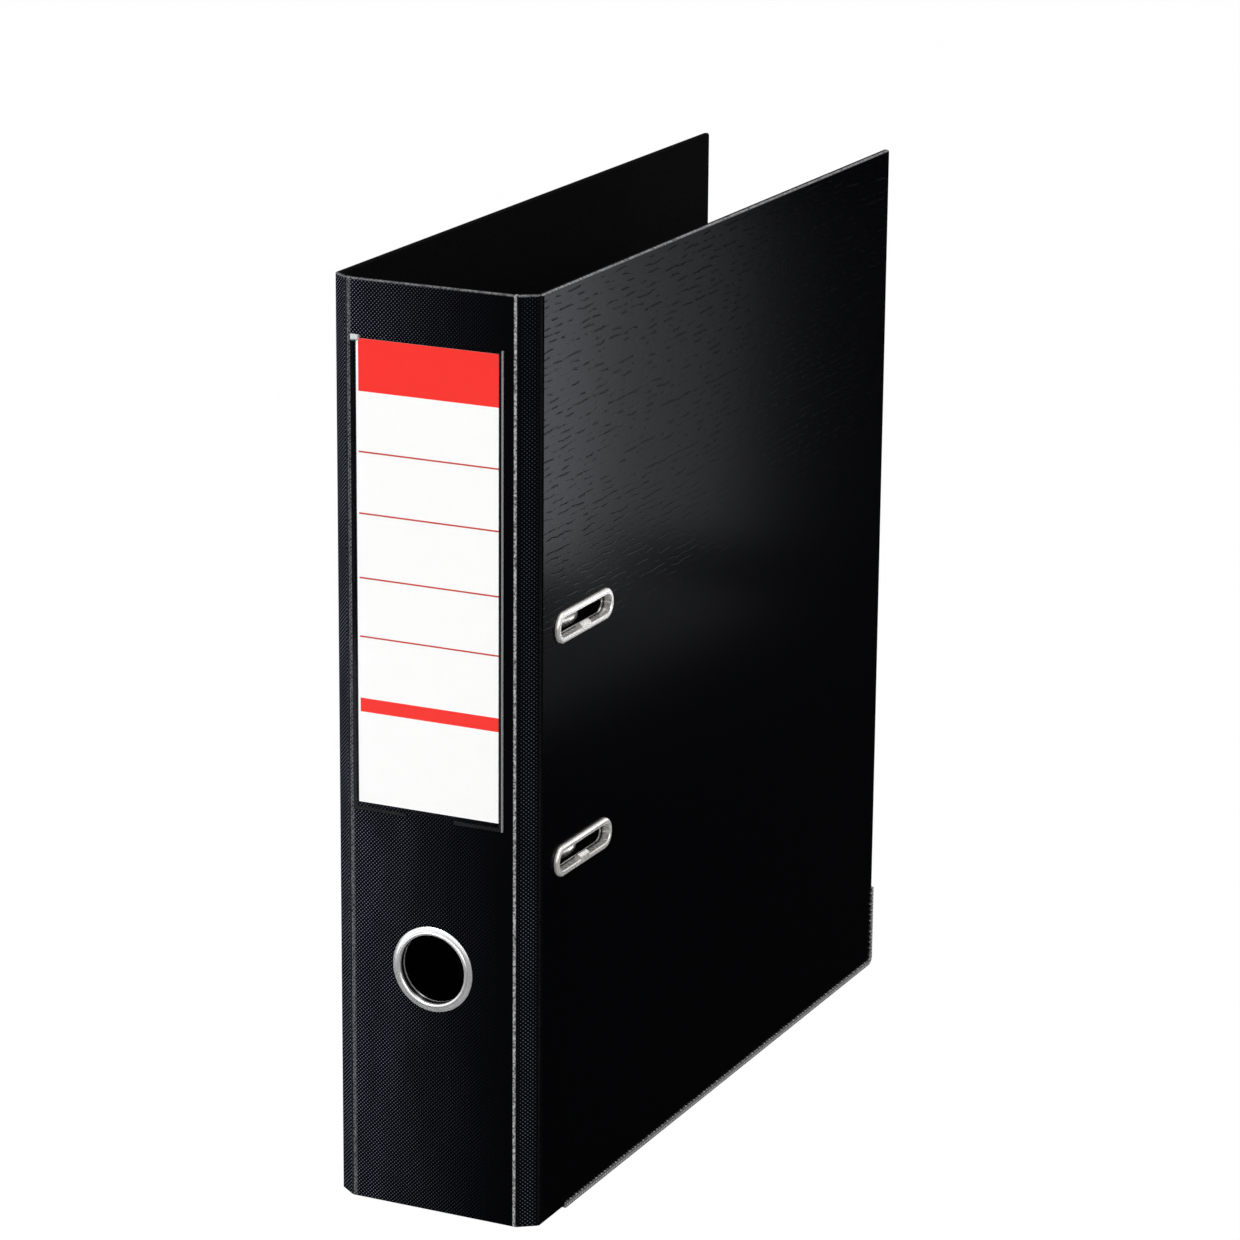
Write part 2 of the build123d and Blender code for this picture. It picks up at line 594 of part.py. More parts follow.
def compressor_clips():
    """Bent spring clips on the bar, one beside each post, that grip the post when let go."""
    y = y_at(POST_Y)
    foot = bar_top()
    tip = foot + CLIP_RISE
    clips = []
    for z, side in ((UPPER_Z, -1), (LOWER_Z, 1)):
        near = z + side * CLIP_NEAR
        far = z + side * CLIP_FAR
        bend = near + side * CLIP_BEND
        outline = [(foot, far), (foot + CLIP_T, far), (foot + CLIP_T, bend + side * CLIP_T), (tip, near),
                   (tip - CLIP_T, near), (foot, bend)]
        clips.append(prism_xz(outline, y - CLIP_W / 2, y + CLIP_W / 2))
    return Compound(children=clips)


# ---- all parts -------------------------------------------------------------------------------
def all_parts():
    strip = hinge_strip()
    guard = front_guard()
    parts = {
        "spine_board": spine_board(),
        "front_hinge_strip": strip,
        "back_hinge_strip": mirror_x(strip),
        "front_cover_board": front_cover(),
        "back_cover_board": back_cover(),
        "front_edge_guard": guard,
        "back_edge_guard": mirror_x(guard),
        "finger_ring": finger_ring(),
        "finger_ring_washer": finger_ring_washer(),
        "label_pocket": label_pocket(),
        "spine_label": spine_label(),
        "base_plate": base_plate(),
        "upper_post": post(UPPER_Z),
        "lower_post": post(LOWER_Z),
        "mechanism_rivets": mechanism_rivets(),
        "arch_wire": arch_wire(),
        "lever": lever(),
        "lever_pin": lever_pin(),
        "roller": roller(),
        "roller_pin": roller_pin(),
        "compressor_bar": compressor_bar(),
        "compressor_clips": compressor_clips(),
    }
    for place, z in SLOT_ZS.items():
        parts[place + "_slot_eyelet"] = slot_eyelet(z)
        parts[place + "_slot_washer"] = slot_washer(z)
    return parts


os.makedirs("parts", exist_ok=True)
for name, shape in all_parts().items():
    export_step(shape, "parts/" + name + ".step")
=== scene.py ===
"""Looks of the A4 lever arch file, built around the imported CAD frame.

Lengths are metres, and millimetres where a name ends in MM.
"""
import math

import bpy
from mathutils import Matrix, Vector


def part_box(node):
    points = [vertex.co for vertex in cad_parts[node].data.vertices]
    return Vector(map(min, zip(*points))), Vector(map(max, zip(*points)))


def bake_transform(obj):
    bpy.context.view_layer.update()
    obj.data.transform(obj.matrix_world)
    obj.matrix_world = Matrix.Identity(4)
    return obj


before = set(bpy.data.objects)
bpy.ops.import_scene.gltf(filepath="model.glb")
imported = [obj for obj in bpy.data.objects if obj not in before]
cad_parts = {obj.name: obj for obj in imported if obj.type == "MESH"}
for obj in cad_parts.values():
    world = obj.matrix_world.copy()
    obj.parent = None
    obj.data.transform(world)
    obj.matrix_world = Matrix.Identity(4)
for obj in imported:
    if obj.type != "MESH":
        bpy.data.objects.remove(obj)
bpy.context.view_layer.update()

MM = 0.001
QUARTER_TURN = math.radians(90)
WHOLE = (0.0, 1.0)                             # the range of a mask

# ---- places read from the frame --------------------------------------------------------------
SPINE_LOW, SPINE_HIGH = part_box("spine_board")
SPINE_FACE = SPINE_LOW.y                       # outer face of the spine
CREASE_X = SPINE_HIGH.x                        # crease beside the spine
BOARD_TOP = SPINE_HIGH.z
COVER_LOW, COVER_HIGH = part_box("front_cover_board")
POCKET_LOW, POCKET_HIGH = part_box("label_pocket")
LABEL_LOW, LABEL_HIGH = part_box("spine_label")
BOARD_T = COVER_HIGH.x - COVER_LOW.x

# ---- foil webs in the creases ----------------------------------------------------------------
CREASE_IN_X = 0.0065                           # spine crease, in from a cover's outer face
CREASE_IN_Y = 0.00475                          # cover crease, back from the spine's outer face
WEB_HALF_W = 0.0011
WEB_DEPTH = 0.0005                             # how deep the foil lies in a crease
WEB_T = 0.0002
WEB_COLUMNS = 8
WEB_FOOT = 1.0 * MM                            # a web starts this far above the boards' foot
WEB_HEAD = 0.5 * MM                            # and ends this far below their top

# ---- colours ---------------------------------------------------------------------------------
FOIL_BLACK = (0.0008, 0.0009, 0.0013)
WEAVE_SHEEN_COLOUR = (0.235, 0.252, 0.350)             # painted sheen on the raised threads of the weave
EDGE_HIGHLIGHT = (0.42, 0.42, 0.43)                    # painted highlight on an edge or a fold
LINING = (0.0045, 0.0045, 0.0050)
PRINT_RED = (0.92, 0.010, 0.002)
RULE_RED = (0.55, 0.02, 0.01)
CARD_WHITE = (0.93, 0.93, 0.92)
CARD_SHADE = 0.98                              # darker fibres of the card
# painted highlight and glint on the film
GLINT_WHITE = (0.80, 0.80, 0.82)
FILM_DARK = (0.004, 0.004, 0.005)
NICKEL = (0.93, 0.91, 0.87)
SILVER = (0.92, 0.92, 0.92)
TARNISH = 0.9                                  # share of the colour left in dull plating
THROAT_SHADE = (0.02, 0.02, 0.02)                    # painted shade down the throat of an eyelet
ZINC = (0.88, 0.88, 0.86)
# painted shade in the hollows between the edge guard's ribs
ZINC_HOLLOW_SHADE = (0.22, 0.22, 0.22)
FLOOR_GREY = (0.85, 0.85, 0.85, 1)
COOL = (0.92, 0.94, 1.0)

# ---- foil ------------------------------------------------------------------------------------
WEAVE_PITCH_MM = 0.95
WEAVE_TURN = math.radians(45)
SHEEN_FADE_POWER = 2.0                               # painted sheen of the weave, fading from the back to the front of the spine
STRIP_MIDDLE = 0.0034                          # band of painted sheen on a hinge strip, out from the spine crease
STRIP_HALF = 0.0028
# painted sheen on a hinge strip: its level over these heights
STRIP_SHEEN_Z = (0.10, 0.30)
STRIP_SHEEN_LEVEL = (0.45, 0.11)
FRONT_RIDGE = (0.0004, 0.0006)                 # painted highlight along a fold, in from the crease, and its half width
BACK_RIDGE = (0.0006, 0.0013)
# level of the painted highlight on the back fold
BACK_RIDGE_LEVEL = 0.24
# levels of the painted highlight on the top edges of the spine and the covers
SPINE_EDGE_LEVEL = 0.4
COVER_EDGE_LEVEL = 0.7
HIGHLIGHT_DROP = 0.0005                           # painted highlight on the top edge, this far below the boards' top
HIGHLIGHT_FACE_IN = 0.0007                           # and this far in from their outer face
FLAT_TOP = 0.0003                              # dull top face
EDGE_BLEND = 0.0002
ROW_PITCH_MM = 2.4                             # dry creases across a cover
ROW_WANDER = 2.6
CREASED_Z = (0.19, 0.23)                       # they fade in over these heights

# ---- eyelets and film ------------------------------------------------------------------------
RING_THROAT_IN = 0.0003                        # painted shade in the throat starts this far inside the spine's face
SLOT_THROAT_IN = 0.0014
WELD_W = 0.0013
# painted highlight along the film's right edge
RIM_IN = 0.0001
RIM_HALF = 0.0005
RIM_LEVEL = 0.3
CORNER_W = 0.0012                              # painted glint on the corner of the pocket, over the label's corner
CORNER_H = 0.0006
CORNER_LEVEL = 0.8

# ---- printed label, heights on the card ------------------------------------------------------
HEADER_Z = 0.2810
BAR_Z = (0.1730, 0.1777)
RULE_Z = (0.2609, 0.2403, 0.2186, 0.1987)
RULE_HALF = 0.00028
PRINT_MARGIN = 0.0008                          # white card left of the print

# ---- light levels ----------------------------------------------------------------------------
WORLD_LIGHT = 0.45
REFLECTED_WORLD = 0.95
REFLECTED_FLOOR = 0.03
FLOOR_WHITE = 0.99                             # share of plain white in the floor that is seen
FLOOR_SIZE = 12.0
FLOOR_DROP = 0.0002

# ---- camera ----------------------------------------------------------------------------------
CAMERA_PLACE = (0.6872, -1.4414, 0.6323)
CAMERA_TURN = (-25.537, 16.138, 0.478)         # yaw, pitch and roll, degrees
CAMERA_LENS_MM = 136.73
CAMERA_SENSOR_MM = 36.0
CAMERA_REACH = 50


# ---- node helpers ----------------------------------------------------------------------------
class Shader:
    """A material with a Principled shader and short calls for the nodes in front of it."""

    def __init__(self, name):
        self.material = bpy.data.materials.new(name)
        self.material.use_nodes = True
        self.tree = self.material.node_tree
        self.bsdf = self.tree.nodes["Principled BSDF"]

    def node(self, kind, **values):
        made = self.tree.nodes.new(kind)
        for key, value in values.items():
            setattr(made, key, value)
        return made

    def link(self, source, target):
        self.tree.links.new(source, target)

    def place(self, scale=(1, 1, 1), turn=(0, 0, 0)):
        """Object coordinates in millimetres, turned and stretched."""
        coords = self.node("ShaderNodeTexCoord")
        mapping = self.node("ShaderNodeMapping")
        mapping.inputs["Rotation"].default_value = turn
        mapping.inputs["Scale"].default_value = [s / MM for s in scale]
        self.link(coords.outputs["Object"], mapping.inputs["Vector"])
        return mapping.outputs["Vector"]

    def axes(self):
        """Object coordinates in metres, as X, Y and Z."""
        coords = self.node("ShaderNodeTexCoord")
        split = self.node("ShaderNodeSeparateXYZ")
        self.link(coords.outputs["Object"], split.inputs[0])
        return [split.outputs[name] for name in "XYZ"]

    def noise(self, place, scale, detail):
        made = self.node("ShaderNodeTexNoise")
        made.inputs["Scale"].default_value = scale
        made.inputs["Detail"].default_value = detail
        self.link(place, made.inputs["Vector"])
        return made.outputs["Fac"]

    def bands(self, place, pitch_mm, distortion):
        """Parallel ridges across local X."""
        made = self.node("ShaderNodeTexWave", wave_type="BANDS", bands_direction="X", wave_profile="SIN")
        made.inputs["Scale"].default_value = math.pi / (10 * pitch_mm)
        made.inputs["Distortion"].default_value = distortion
        made.inputs["Detail"].default_value = 1.0
        self.link(place, made.inputs["Vector"])
        return made.outputs["Fac"]

    def math(self, operation, a, b):
        made = self.node("ShaderNodeMath", operation=operation)
        for socket, value in zip(made.inputs, (a, b)):
            if isinstance(value, (int, float)):
                socket.default_value = value
            else:
                self.link(value, socket)
        return made.outputs[0]

    def product(self, first, *others):
        for other in others:
            first = self.math("MULTIPLY", first, other)
        return first

    def larger(self, a, b):
        return self.math("MAXIMUM", a, b)

    def minus(self, a, b):
        return self.math("SUBTRACT", a, b)

    def size(self, value):
        return self.math("ABSOLUTE", value, 0.0)

    def span(self, value, low_high, to_low_high=WHOLE):
        """One range mapped to another, clamped at its ends."""
        made = self.node("ShaderNodeMapRange")
        for key, number in zip(("From Min", "From Max", "To Min", "To Max"), (*low_high, *to_low_high)):
            made.inputs[key].default_value = number
        self.link(value, made.inputs["Value"])
        return made.outputs["Result"]

    def line(self, value, centre, half):
        """One on a line across an axis, falling to nothing at half its width."""
        return self.span(self.size(self.minus(value, centre)), (half * 0.5, half), (1.0, 0.0))

    def beyond(self, value, limit, blend=0.0001):
        """Nothing below a limit, one above it."""
        return self.span(value, (limit - blend, limit + blend))

    def below(self, value, limit, blend=0.0001):
        """One below a limit, nothing above it."""
        return self.minus(1.0, self.beyond(value, limit, blend))

    def ramp(self, fac, *stops):
        made = self.node("ShaderNodeValToRGB")
        for element, (at, colour) in zip(made.color_ramp.elements, stops):
            element.position = at
            element.color = (*colour, 1.0)
        self.link(fac, made.inputs["Fac"])
        return made.outputs["Color"]

    def mix(self, fac, first, second):
        """Colour between two colours or colour sockets."""
        made = self.node("ShaderNodeMix", data_type="RGBA")
        self.link(fac, made.inputs["Factor"])
        for socket, value in ((made.inputs[6], first), (made.inputs[7], second)):
            if isinstance(value, tuple):
                socket.default_value = (*value, 1.0)
            else:
                self.link(value, socket)
        return made.outputs[2]

    def bump(self, height, depth_mm, strength):
        made = self.node("ShaderNodeBump")
        made.inputs["Distance"].default_value = depth_mm * MM
        made.inputs["Strength"].default_value = strength
        self.link(height, made.inputs["Height"])
        self.feed(made.outputs["Normal"], "Normal")

    def set(self, **values):
        for key, value in values.items():
            self.bsdf.inputs[key.replace("_", " ")].default_value = value

    def feed(self, source, name):
        self.link(source, self.bsdf.inputs[name])

    def shader_mix(self, fac, first, second):
        made = self.node("ShaderNodeMixShader")
        for socket, source in zip(made.inputs, (fac, first, second)):
            self.link(source, socket)
        return made.outputs[0]

    def finish_with(self, shader):
        self.link(shader, self.tree.nodes["Material Output"].inputs["Surface"])


# ---- foil ------------------------------------------------------------------------------------
def edge_highlight_mask(s, z, outer):
    """Painted highlight along the outer top edge of a board, broken up by the grain of the board."""
    grain = s.span(s.noise(s.place(), scale=1.2, detail=3.0), (0.35, 0.6), (0.25, 1.0))
    return s.product(s.beyond(z, BOARD_TOP - HIGHLIGHT_DROP, EDGE_BLEND), outer, grain)


def linen_foil():
    """Black polypropylene foil with a fine woven emboss, as on the spine and the hinge strips."""
    s = Shader("linen_foil")
    x, y, z = s.axes()
    side = s.size(x)

    past_crease = s.larger(s.minus(side, CREASE_X), 0.0)
    depth = s.minus(y, s.product(past_crease, CREASE_IN_Y / CREASE_IN_X))
    outside = s.below(depth, SPINE_FACE + BOARD_T * 0.7)
    outer = s.below(depth, SPINE_FACE + HIGHLIGHT_FACE_IN)

    warp = s.bands(s.place(turn=(0, WEAVE_TURN, 0)), WEAVE_PITCH_MM, distortion=0.4)
    weft = s.bands(s.place(turn=(0, -WEAVE_TURN, 0)), WEAVE_PITCH_MM, distortion=0.4)
    weave = s.span(s.product(warp, weft), (0.45, 0.95))
    cloud = s.noise(s.place(scale=(1, 1, 0.35)), scale=0.12, detail=4.0)
    height = s.product(weave, s.span(cloud, (0.35, 0.65), (0.6, 1.0)), outside)

    # painted sheen on the weave's threads: brightest at the spine's back edge, fading to the front
    # crease, and in a band on each hinge strip
    spine_sheen = s.math("POWER", s.span(x, (-CREASE_X, CREASE_X), (1.0, 0.0)), SHEEN_FADE_POWER)
    strip_sheen = s.line(side, CREASE_X + STRIP_MIDDLE, STRIP_HALF)
    strip_sheen = s.product(strip_sheen, s.span(z, STRIP_SHEEN_Z, STRIP_SHEEN_LEVEL))
    weave_sheen = s.product(height, s.larger(spine_sheen, strip_sheen))

    # painted highlight along the folds beside both creases, and along the top edge
    ridge_in, ridge_half = FRONT_RIDGE
    front = s.line(x, CREASE_X - ridge_in, ridge_half)
    ridge_in, ridge_half = BACK_RIDGE
    back = s.product(s.line(x, ridge_in - CREASE_X, ridge_half), BACK_RIDGE_LEVEL)
    grain = s.span(s.noise(s.place(), scale=1.4, detail=2.0), (0.35, 0.65), (0.15, 1.0))
    ridge = s.product(s.math("ADD", front, back), outside, grain)
    highlight = s.larger(ridge, s.product(edge_highlight_mask(s, z, outer), SPINE_EDGE_LEVEL))

    # the weave's threads take the painted sheen colour
    cloth = s.ramp(weave_sheen, (0.0, FOIL_BLACK), (1.0, WEAVE_SHEEN_COLOUR))
    s.feed(s.mix(highlight, cloth, EDGE_HIGHLIGHT), "Base Color")
    flat_top = s.beyond(z, BOARD_TOP - FLAT_TOP, EDGE_BLEND)
    s.feed(s.larger(s.span(height, WHOLE, (0.50, 0.30)), flat_top), "Roughness")
    s.bump(height, depth_mm=0.12, strength=1.0)
    s.set(Specular_IOR_Level=0.02)
    return s.material


def hinge_foil():
    """The plain foil in the bottom of a crease."""
    s = Shader("hinge_foil")
    fibre = s.noise(s.place(), scale=1.2, detail=3.0)
    s.feed(s.ramp(fibre, (0.3, FOIL_BLACK), (0.7, LINING)), "Base Color")
    s.feed(s.span(fibre, (0.3, 0.7), (0.55, 0.7)), "Roughness")
    s.bump(fibre, depth_mm=0.03, strength=0.4)
    s.set(Specular_IOR_Level=0.08)
    return s.material


def cover_foil():
    """The same foil on a cover: smoother, with short dry creases across it and a paper lining inside."""
    s = Shader("cover_foil")
    x, y, z = s.axes()
    side = s.size(x)
    outside = s.beyond(side, COVER_HIGH.x - BOARD_T * 0.6)
    outer = s.beyond(side, COVER_HIGH.x - HIGHLIGHT_FACE_IN)

    rows = s.bands(s.place(turn=(0, QUARTER_TURN, 0)), ROW_PITCH_MM, ROW_WANDER)
    breaks = s.noise(s.place(scale=(1, 0.14, 0.5)), scale=0.9, detail=2.0)
    creases = s.product(s.span(rows, (0.86, 1.0)), s.span(breaks, (0.47, 0.62)), outside)
    creases = s.product(creases, s.span(z, CREASED_Z))
    grain = s.noise(s.place(scale=(1, 0.5, 1)), scale=2.4, detail=2.0)

    paper = s.noise(s.place(), scale=1.1, detail=4.0)
    lining = s.ramp(paper, (0.3, FOIL_BLACK), (0.7, LINING))
    colour = s.mix(outside, lining, FOIL_BLACK)
    # painted highlight along the top edge of a cover
    highlight = s.product(edge_highlight_mask(s, z, outer), COVER_EDGE_LEVEL)
    s.feed(s.mix(highlight, colour, EDGE_HIGHLIGHT), "Base Color")

    face = s.math("ADD", s.span(grain, (0.3, 0.7), (0.15, 0.17)), s.product(creases, 0.04))
    face = s.larger(face, s.beyond(z, BOARD_TOP - FLAT_TOP, EDGE_BLEND))
    s.feed(s.larger(face, s.span(outside, WHOLE, (0.85, 0.0))), "Roughness")
    s.bump(s.minus(s.product(grain, 0.06), creases), depth_mm=0.07, strength=0.6)
    s.set(Specular_IOR_Level=0.02)
    return s.material


# ---- metals ----------------------------------------------------------------------------------
def nickel(name, roughness, colour=NICKEL, throat=None, metallic=0.92):
    """Bright plated steel with faint drawing marks and a little tarnish, and painted shade down an
    eyelet's throat.
    """
    s = Shader(name)
    marks = s.noise(s.place(scale=(1, 1, 6)), scale=0.8, detail=4.0)
    tarnish = s.noise(s.place(), scale=0.12, detail=3.0)
    plate = s.ramp(tarnish, (0.35, tuple(c * TARNISH for c in colour)), (0.65, colour))
    if throat:
        # painted shade down the throat
        plate = s.mix(throat(s), plate, THROAT_SHADE)
    s.feed(plate, "Base Color")
    s.feed(s.span(marks, (0.3, 0.7), (roughness * 0.8, roughness * 1.2)), "Roughness")
    s.bump(marks, depth_mm=0.004, strength=0.15)
    s.set(Metallic=metallic)
    return s.material


def ring_throat_shade(s):
    """Painted shade inside the finger ring, from just behind its flange to the inner face of the spine.
    """
    y = s.axes()[1]
    return s.product(s.beyond(y, SPINE_FACE + RING_THROAT_IN, 0.0002), s.below(y, SPINE_FACE + BOARD_T))


def slot_throat_shade(s):
    """Painted shade inside a slot eyelet, from just behind its flange to the inner face of the cover."""
    x = s.axes()[0]
    return s.product(s.below(x, COVER_HIGH.x - SLOT_THROAT_IN, 0.0004), s.beyond(x, COVER_LOW.x))


def ribbed_zinc():
    """Edge guard: pale plated strip with fine ribs pressed across it, with painted shade in their
    hollows.
    """
    s = Shader("ribbed_zinc")
    ribs = s.bands(s.place(turn=(0, 0, QUARTER_TURN)), pitch_mm=1.4, distortion=0.3)
    rise = s.bands(s.place(turn=(0, QUARTER_TURN, 0)), pitch_mm=1.4, distortion=0.3)
    height = s.product(ribs, rise)
    # darker in the hollows between the ribs: painted shade
    s.feed(s.ramp(height, (0.1, ZINC_HOLLOW_SHADE), (0.5, ZINC)), "Base Color")
    s.feed(s.span(height, WHOLE, (0.45, 0.28)), "Roughness")
    s.bump(height, depth_mm=0.15, strength=0.6)
    s.set(Metallic=0.6)
    return s.material


# ---- label -----------------------------------------------------------------------------------
def label_print():
    """White card with a red header, thin red rules and a red bar, by height on the card."""
    s = Shader("label_print")
    x, y, z = s.axes()
    face = s.math("LESS_THAN", y, (LABEL_LOW.y + LABEL_HIGH.y) / 2)
    face = s.product(face, s.math("GREATER_THAN", x, LABEL_LOW.x + PRINT_MARGIN))
    fibre = s.noise(s.place(), scale=1.6, detail=3.0)
    colour = s.ramp(fibre, (0.3, tuple(c * CARD_SHADE for c in CARD_WHITE)), (0.7, CARD_WHITE))
    inks = [(HEADER_Z, 1.0, PRINT_RED), (*BAR_Z, PRINT_RED)]
    inks += [(rule - RULE_HALF, rule + RULE_HALF, RULE_RED) for rule in RULE_Z]
    for low, high, ink in inks:
        inside = s.product(s.math("GREATER_THAN", z, low), s.math("LESS_THAN", z, high))
        colour = s.mix(s.product(inside, face), colour, ink)
    s.feed(colour, "Base Color")
    s.feed(s.span(fibre, (0.3, 0.7), (0.45, 0.55)), "Roughness")
    s.bump(fibre, depth_mm=0.01, strength=0.2)
    return s.material


def clear_film():
    """Clear film over the card, with a painted highlight along its right edge and a painted glint at its
    top-left corner, dark and flat where it is welded.
    """
    s = Shader("clear_film")
    x, y, z = s.axes()
    middle = (POCKET_LOW.x + POCKET_HIGH.x) / 2
    half = (POCKET_HIGH.x - POCKET_LOW.x) / 2
    weld = s.beyond(s.size(s.minus(x, middle)), half - WELD_W)
    weld = s.larger(weld, s.below(z, POCKET_LOW.z + WELD_W))
    # painted highlight along the right edge and painted glint at the top-left corner
    rim = s.product(s.line(x, POCKET_HIGH.x - RIM_IN, RIM_HALF), RIM_LEVEL)
    corner_x = s.below(x, LABEL_LOW.x + CORNER_W, 0.0008)
    corner_z = s.beyond(z, LABEL_HIGH.z - CORNER_H, 0.0004)
    film_glint = s.larger(rim, s.product(corner_x, corner_z, CORNER_LEVEL))
    s.feed(s.mix(film_glint, FILM_DARK, GLINT_WHITE), "Base Color")
    s.feed(s.larger(s.span(weld, WHOLE, (0.04, 0.85)), film_glint), "Alpha")
    ripple = s.noise(s.place(scale=(1, 1, 0.3)), scale=0.05, detail=2.0)
    s.feed(s.span(ripple, (0.3, 0.7), (0.12, 0.22)), "Roughness")
    s.bump(ripple, depth_mm=0.4, strength=0.3)
    s.set(Specular_IOR_Level=0.15)
    return s.material


# ---- stage -----------------------------------------------------------------------------------
def stage_material():
    """Pale floor: white to the camera and through film, dim in reflections, with a soft shadow."""
    s = Shader("stage")
    s.set(Roughness=0.9, Base_Color=FLOOR_GREY)
    path = s.node("ShaderNodeLightPath")
    seen = s.larger(path.outputs["Is Camera Ray"], path.outputs["Is Transmission Ray"])
    white = s.node("ShaderNodeEmission")
    dim = s.node("ShaderNodeEmission")
    dim.inputs["Strength"].default_value = REFLECTED_FLOOR
    lit = s.shader_mix(s.product(seen, FLOOR_WHITE), s.bsdf.outputs[0], white.outputs[0])
    s.finish_with(s.shader_mix(path.outputs["Is Glossy Ray"], lit, dim.outputs[0]))
    return s.material


def build_stage():
    bpy.ops.mesh.primitive_plane_add(size=FLOOR_SIZE, location=(0, 0, -FLOOR_DROP))
    floor = bpy.context.object
    floor.name = "floor"
    floor.data.materials.append(stage_material())


def build_world():
    """White to the camera and through film; plain grey light for everything else."""
    world = bpy.data.worlds.new("studio")
    bpy.context.scene.world = world
    world.use_nodes = True
    tree = world.node_tree
    background = tree.nodes["Background"]
    background.inputs["Color"].default_value = (1, 1, 1, 1)
    path = tree.nodes.new("ShaderNodeLightPath")

    def blend(ray, low, high):
        made = tree.nodes.new("ShaderNodeMapRange")
        tree.links.new(path.outputs[ray], made.inputs["Value"])
        made.inputs["To Max"].default_value = high
        if isinstance(low, float):
            made.inputs["To Min"].default_value = low
        else:
            tree.links.new(low, made.inputs["To Min"])
        return made.outputs["Result"]

    lit = blend("Is Glossy Ray", WORLD_LIGHT, REFLECTED_WORLD)
    lit = blend("Is Transmission Ray", lit, 1.0)
    lit = blend("Is Camera Ray", lit, 1.0)
    tree.links.new(lit, background.inputs["Strength"])


def lamp(name, place, target, size, power, colour=(1, 1, 1)):
    """Rectangular lamp, in metres and watts, that the camera doesn't see."""
    data = bpy.data.lights.new(name, "AREA")
    data.color = colour
    data.shape = "RECTANGLE"
    data.size, data.size_y = size
    data.energy = power
    made = bpy.data.objects.new(name, data)
    bpy.context.scene.collection.objects.link(made)
    made.location = place
    aim = Vector(target) - Vector(place)
    made.rotation_euler = aim.to_track_quat("-Z", "Y").to_euler()
    made.visible_camera = False


def build_lamps():
    """Plain soft light, and small low lamps that lie as sheens on the cover and the crease."""
    lamp("key", place=(-0.7, -1.7, 1.3), target=(0, -0.1, 0.15), size=(0.9, 0.9), power=22)
    lamp("side", place=(1.7, -0.9, 1.2), target=(0.04, 0.0, 0.15), size=(0.8, 0.8), power=16)
    lamp("sheen", place=(0.35, 0.45, 0.125), target=(0.04, -0.12, 0.22),
         size=(0.06, 0.16), power=0.22, colour=COOL)
    lamp("sheen_wide", place=(0.35, 0.59, 0.115), target=(0.04, -0.02, 0.22),
         size=(0.088, 0.17), power=0.085, colour=COOL)
    lamp("sheen_low", place=(0.33, 0.46, 0.003), target=(0.33, 0.47, 1.0),
         size=(0.08, 0.27), power=0.05, colour=COOL)
    lamp("spine_glint", place=(-0.22, -0.41, 0.004), target=(-0.02, -0.145, 0.09),
         size=(0.22, 0.18), power=0.22, colour=COOL)
    lamp("top", place=(0.3, 0.2, 2.0), target=(0, 0, 0.1), size=(1.2, 1.2), power=8)


def build_camera():
    """Long lens a little above the file, on the spine's front-cover side."""
    yaw, pitch, roll = (math.radians(a) for a in CAMERA_TURN)
    level = math.cos(pitch)
    forward = Vector((math.sin(yaw) * level, math.cos(yaw) * level, -math.sin(pitch)))
    right = Vector((math.cos(yaw), -math.sin(yaw), 0))
    up = right.cross(forward)
    right_rolled = right * math.cos(roll) + up * math.sin(roll)
    up_rolled = up * math.cos(roll) - right * math.sin(roll)
    axes = Matrix((right_rolled, up_rolled, -forward)).transposed().to_4x4()
    data = bpy.data.cameras.new("camera")
    data.lens = CAMERA_LENS_MM
    data.sensor_width = CAMERA_SENSOR_MM
    data.clip_end = CAMERA_REACH
    camera = bpy.data.objects.new("camera", data)
    camera.matrix_world = Matrix.Translation(CAMERA_PLACE) @ axes
    bpy.context.scene.collection.objects.link(camera)
    bpy.context.scene.camera = camera


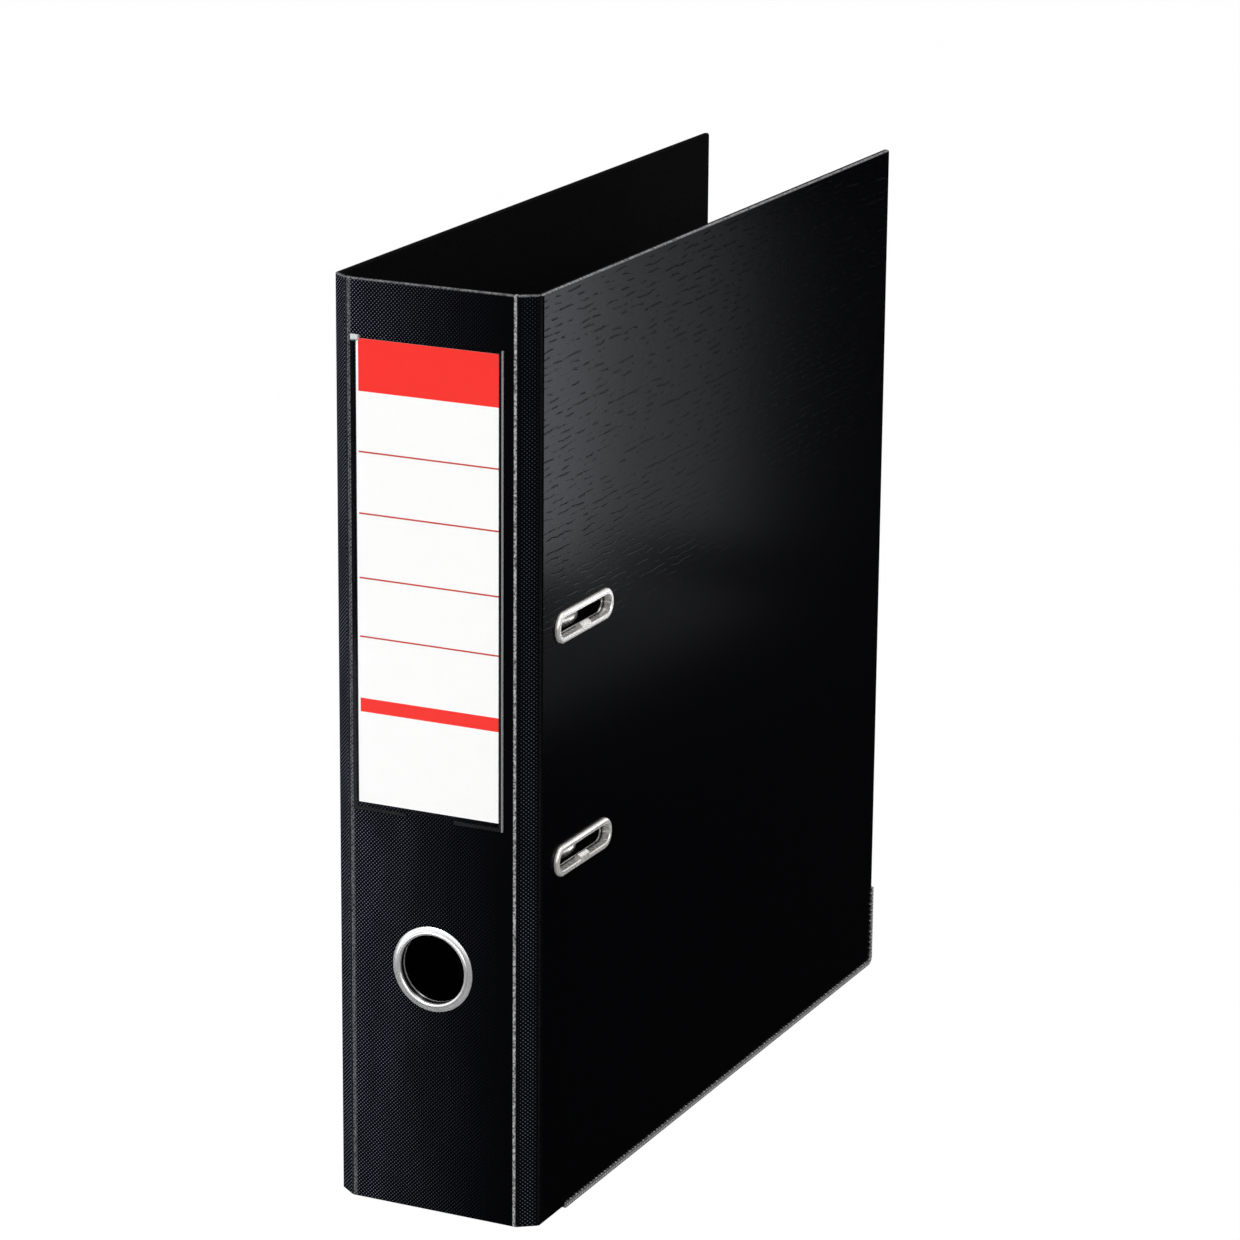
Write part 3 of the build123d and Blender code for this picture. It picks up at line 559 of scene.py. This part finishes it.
# ---- foil webs across the creases ------------------------------------------------------------
def hinge_web(name, corner, before, after, side, material):
    """Strip of foil in a crease, standing the full height of the boards."""
    tangent = (before + after).normalized()
    inward = Vector((-tangent.y, tangent.x, 0)) * side
    points = []
    for depth in (WEB_DEPTH, WEB_DEPTH + WEB_T):
        for column in range(WEB_COLUMNS + 1):
            across = (2 * column / WEB_COLUMNS - 1) * WEB_HALF_W
            foot = corner + tangent * across + inward * depth
            points += [(foot.x, foot.y, z) for z in (SPINE_LOW.z + WEB_FOOT, BOARD_TOP - WEB_HEAD)]
    row = 2 * (WEB_COLUMNS + 1)
    faces = []
    for column in range(WEB_COLUMNS):
        low, high, next_low, next_high = (2 * column + k for k in range(4))
        faces.append((low, next_low, next_high, high))
        faces.append((row + low, row + high, row + next_high, row + next_low))
        faces.append((low, row + low, row + next_low, next_low))
        faces.append((high, next_high, row + next_high, row + high))
    faces.append((0, 1, row + 1, row))
    faces.append((row - 2, 2 * row - 2, 2 * row - 1, row - 1))
    mesh = bpy.data.meshes.new(name)
    mesh.from_pydata(points, [], faces)
    mesh.update()
    mesh.materials.append(material)
    web = bpy.data.objects.new(name, mesh)
    bpy.context.scene.collection.objects.link(web)
    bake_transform(web)


def build_webs():
    material = hinge_foil()
    for name, side in (("front", 1), ("back", -1)):
        near = Vector((side * (COVER_HIGH.x - CREASE_IN_X), SPINE_FACE, 0))
        far = Vector((side * COVER_HIGH.x, SPINE_FACE + CREASE_IN_Y, 0))
        out = Vector((side, 0, 0))
        along = (far - near).normalized()
        back = Vector((0, 1, 0))
        hinge_web(name + "_spine_web", near, out, along, side, material)
        hinge_web(name + "_cover_web", far, along, back, side, material)


# ---- dress the CAD nodes ---------------------------------------------------------------------
def dress(material, *nodes):
    for name in nodes:
        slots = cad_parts[name].data.materials
        slots.clear()
        slots.append(material)


def dress_nodes():
    ring = nickel("ring_nickel", 0.22, colour=SILVER, throat=ring_throat_shade, metallic=0.7)
    slot = nickel("slot_nickel", 0.26, throat=slot_throat_shade, metallic=0.6)
    dress(linen_foil(), "spine_board", "front_hinge_strip", "back_hinge_strip")
    dress(cover_foil(), "front_cover_board", "back_cover_board")
    dress(ring, "finger_ring")
    dress(slot, "upper_slot_eyelet", "lower_slot_eyelet")
    dress(nickel("bright_nickel", 0.28), "arch_wire", "mechanism_rivets")
    dress(nickel("satin_nickel", 0.32), "finger_ring_washer", "upper_slot_washer", "lower_slot_washer",
          "base_plate", "upper_post", "lower_post", "lever", "lever_pin", "roller", "roller_pin",
          "compressor_bar", "compressor_clips")
    dress(ribbed_zinc(), "front_edge_guard", "back_edge_guard")
    dress(label_print(), "spine_label")
    dress(clear_film(), "label_pocket")


dress_nodes()
build_webs()
build_world()
build_stage()
build_lamps()
build_camera()
bpy.context.scene.view_settings.view_transform = "Standard"
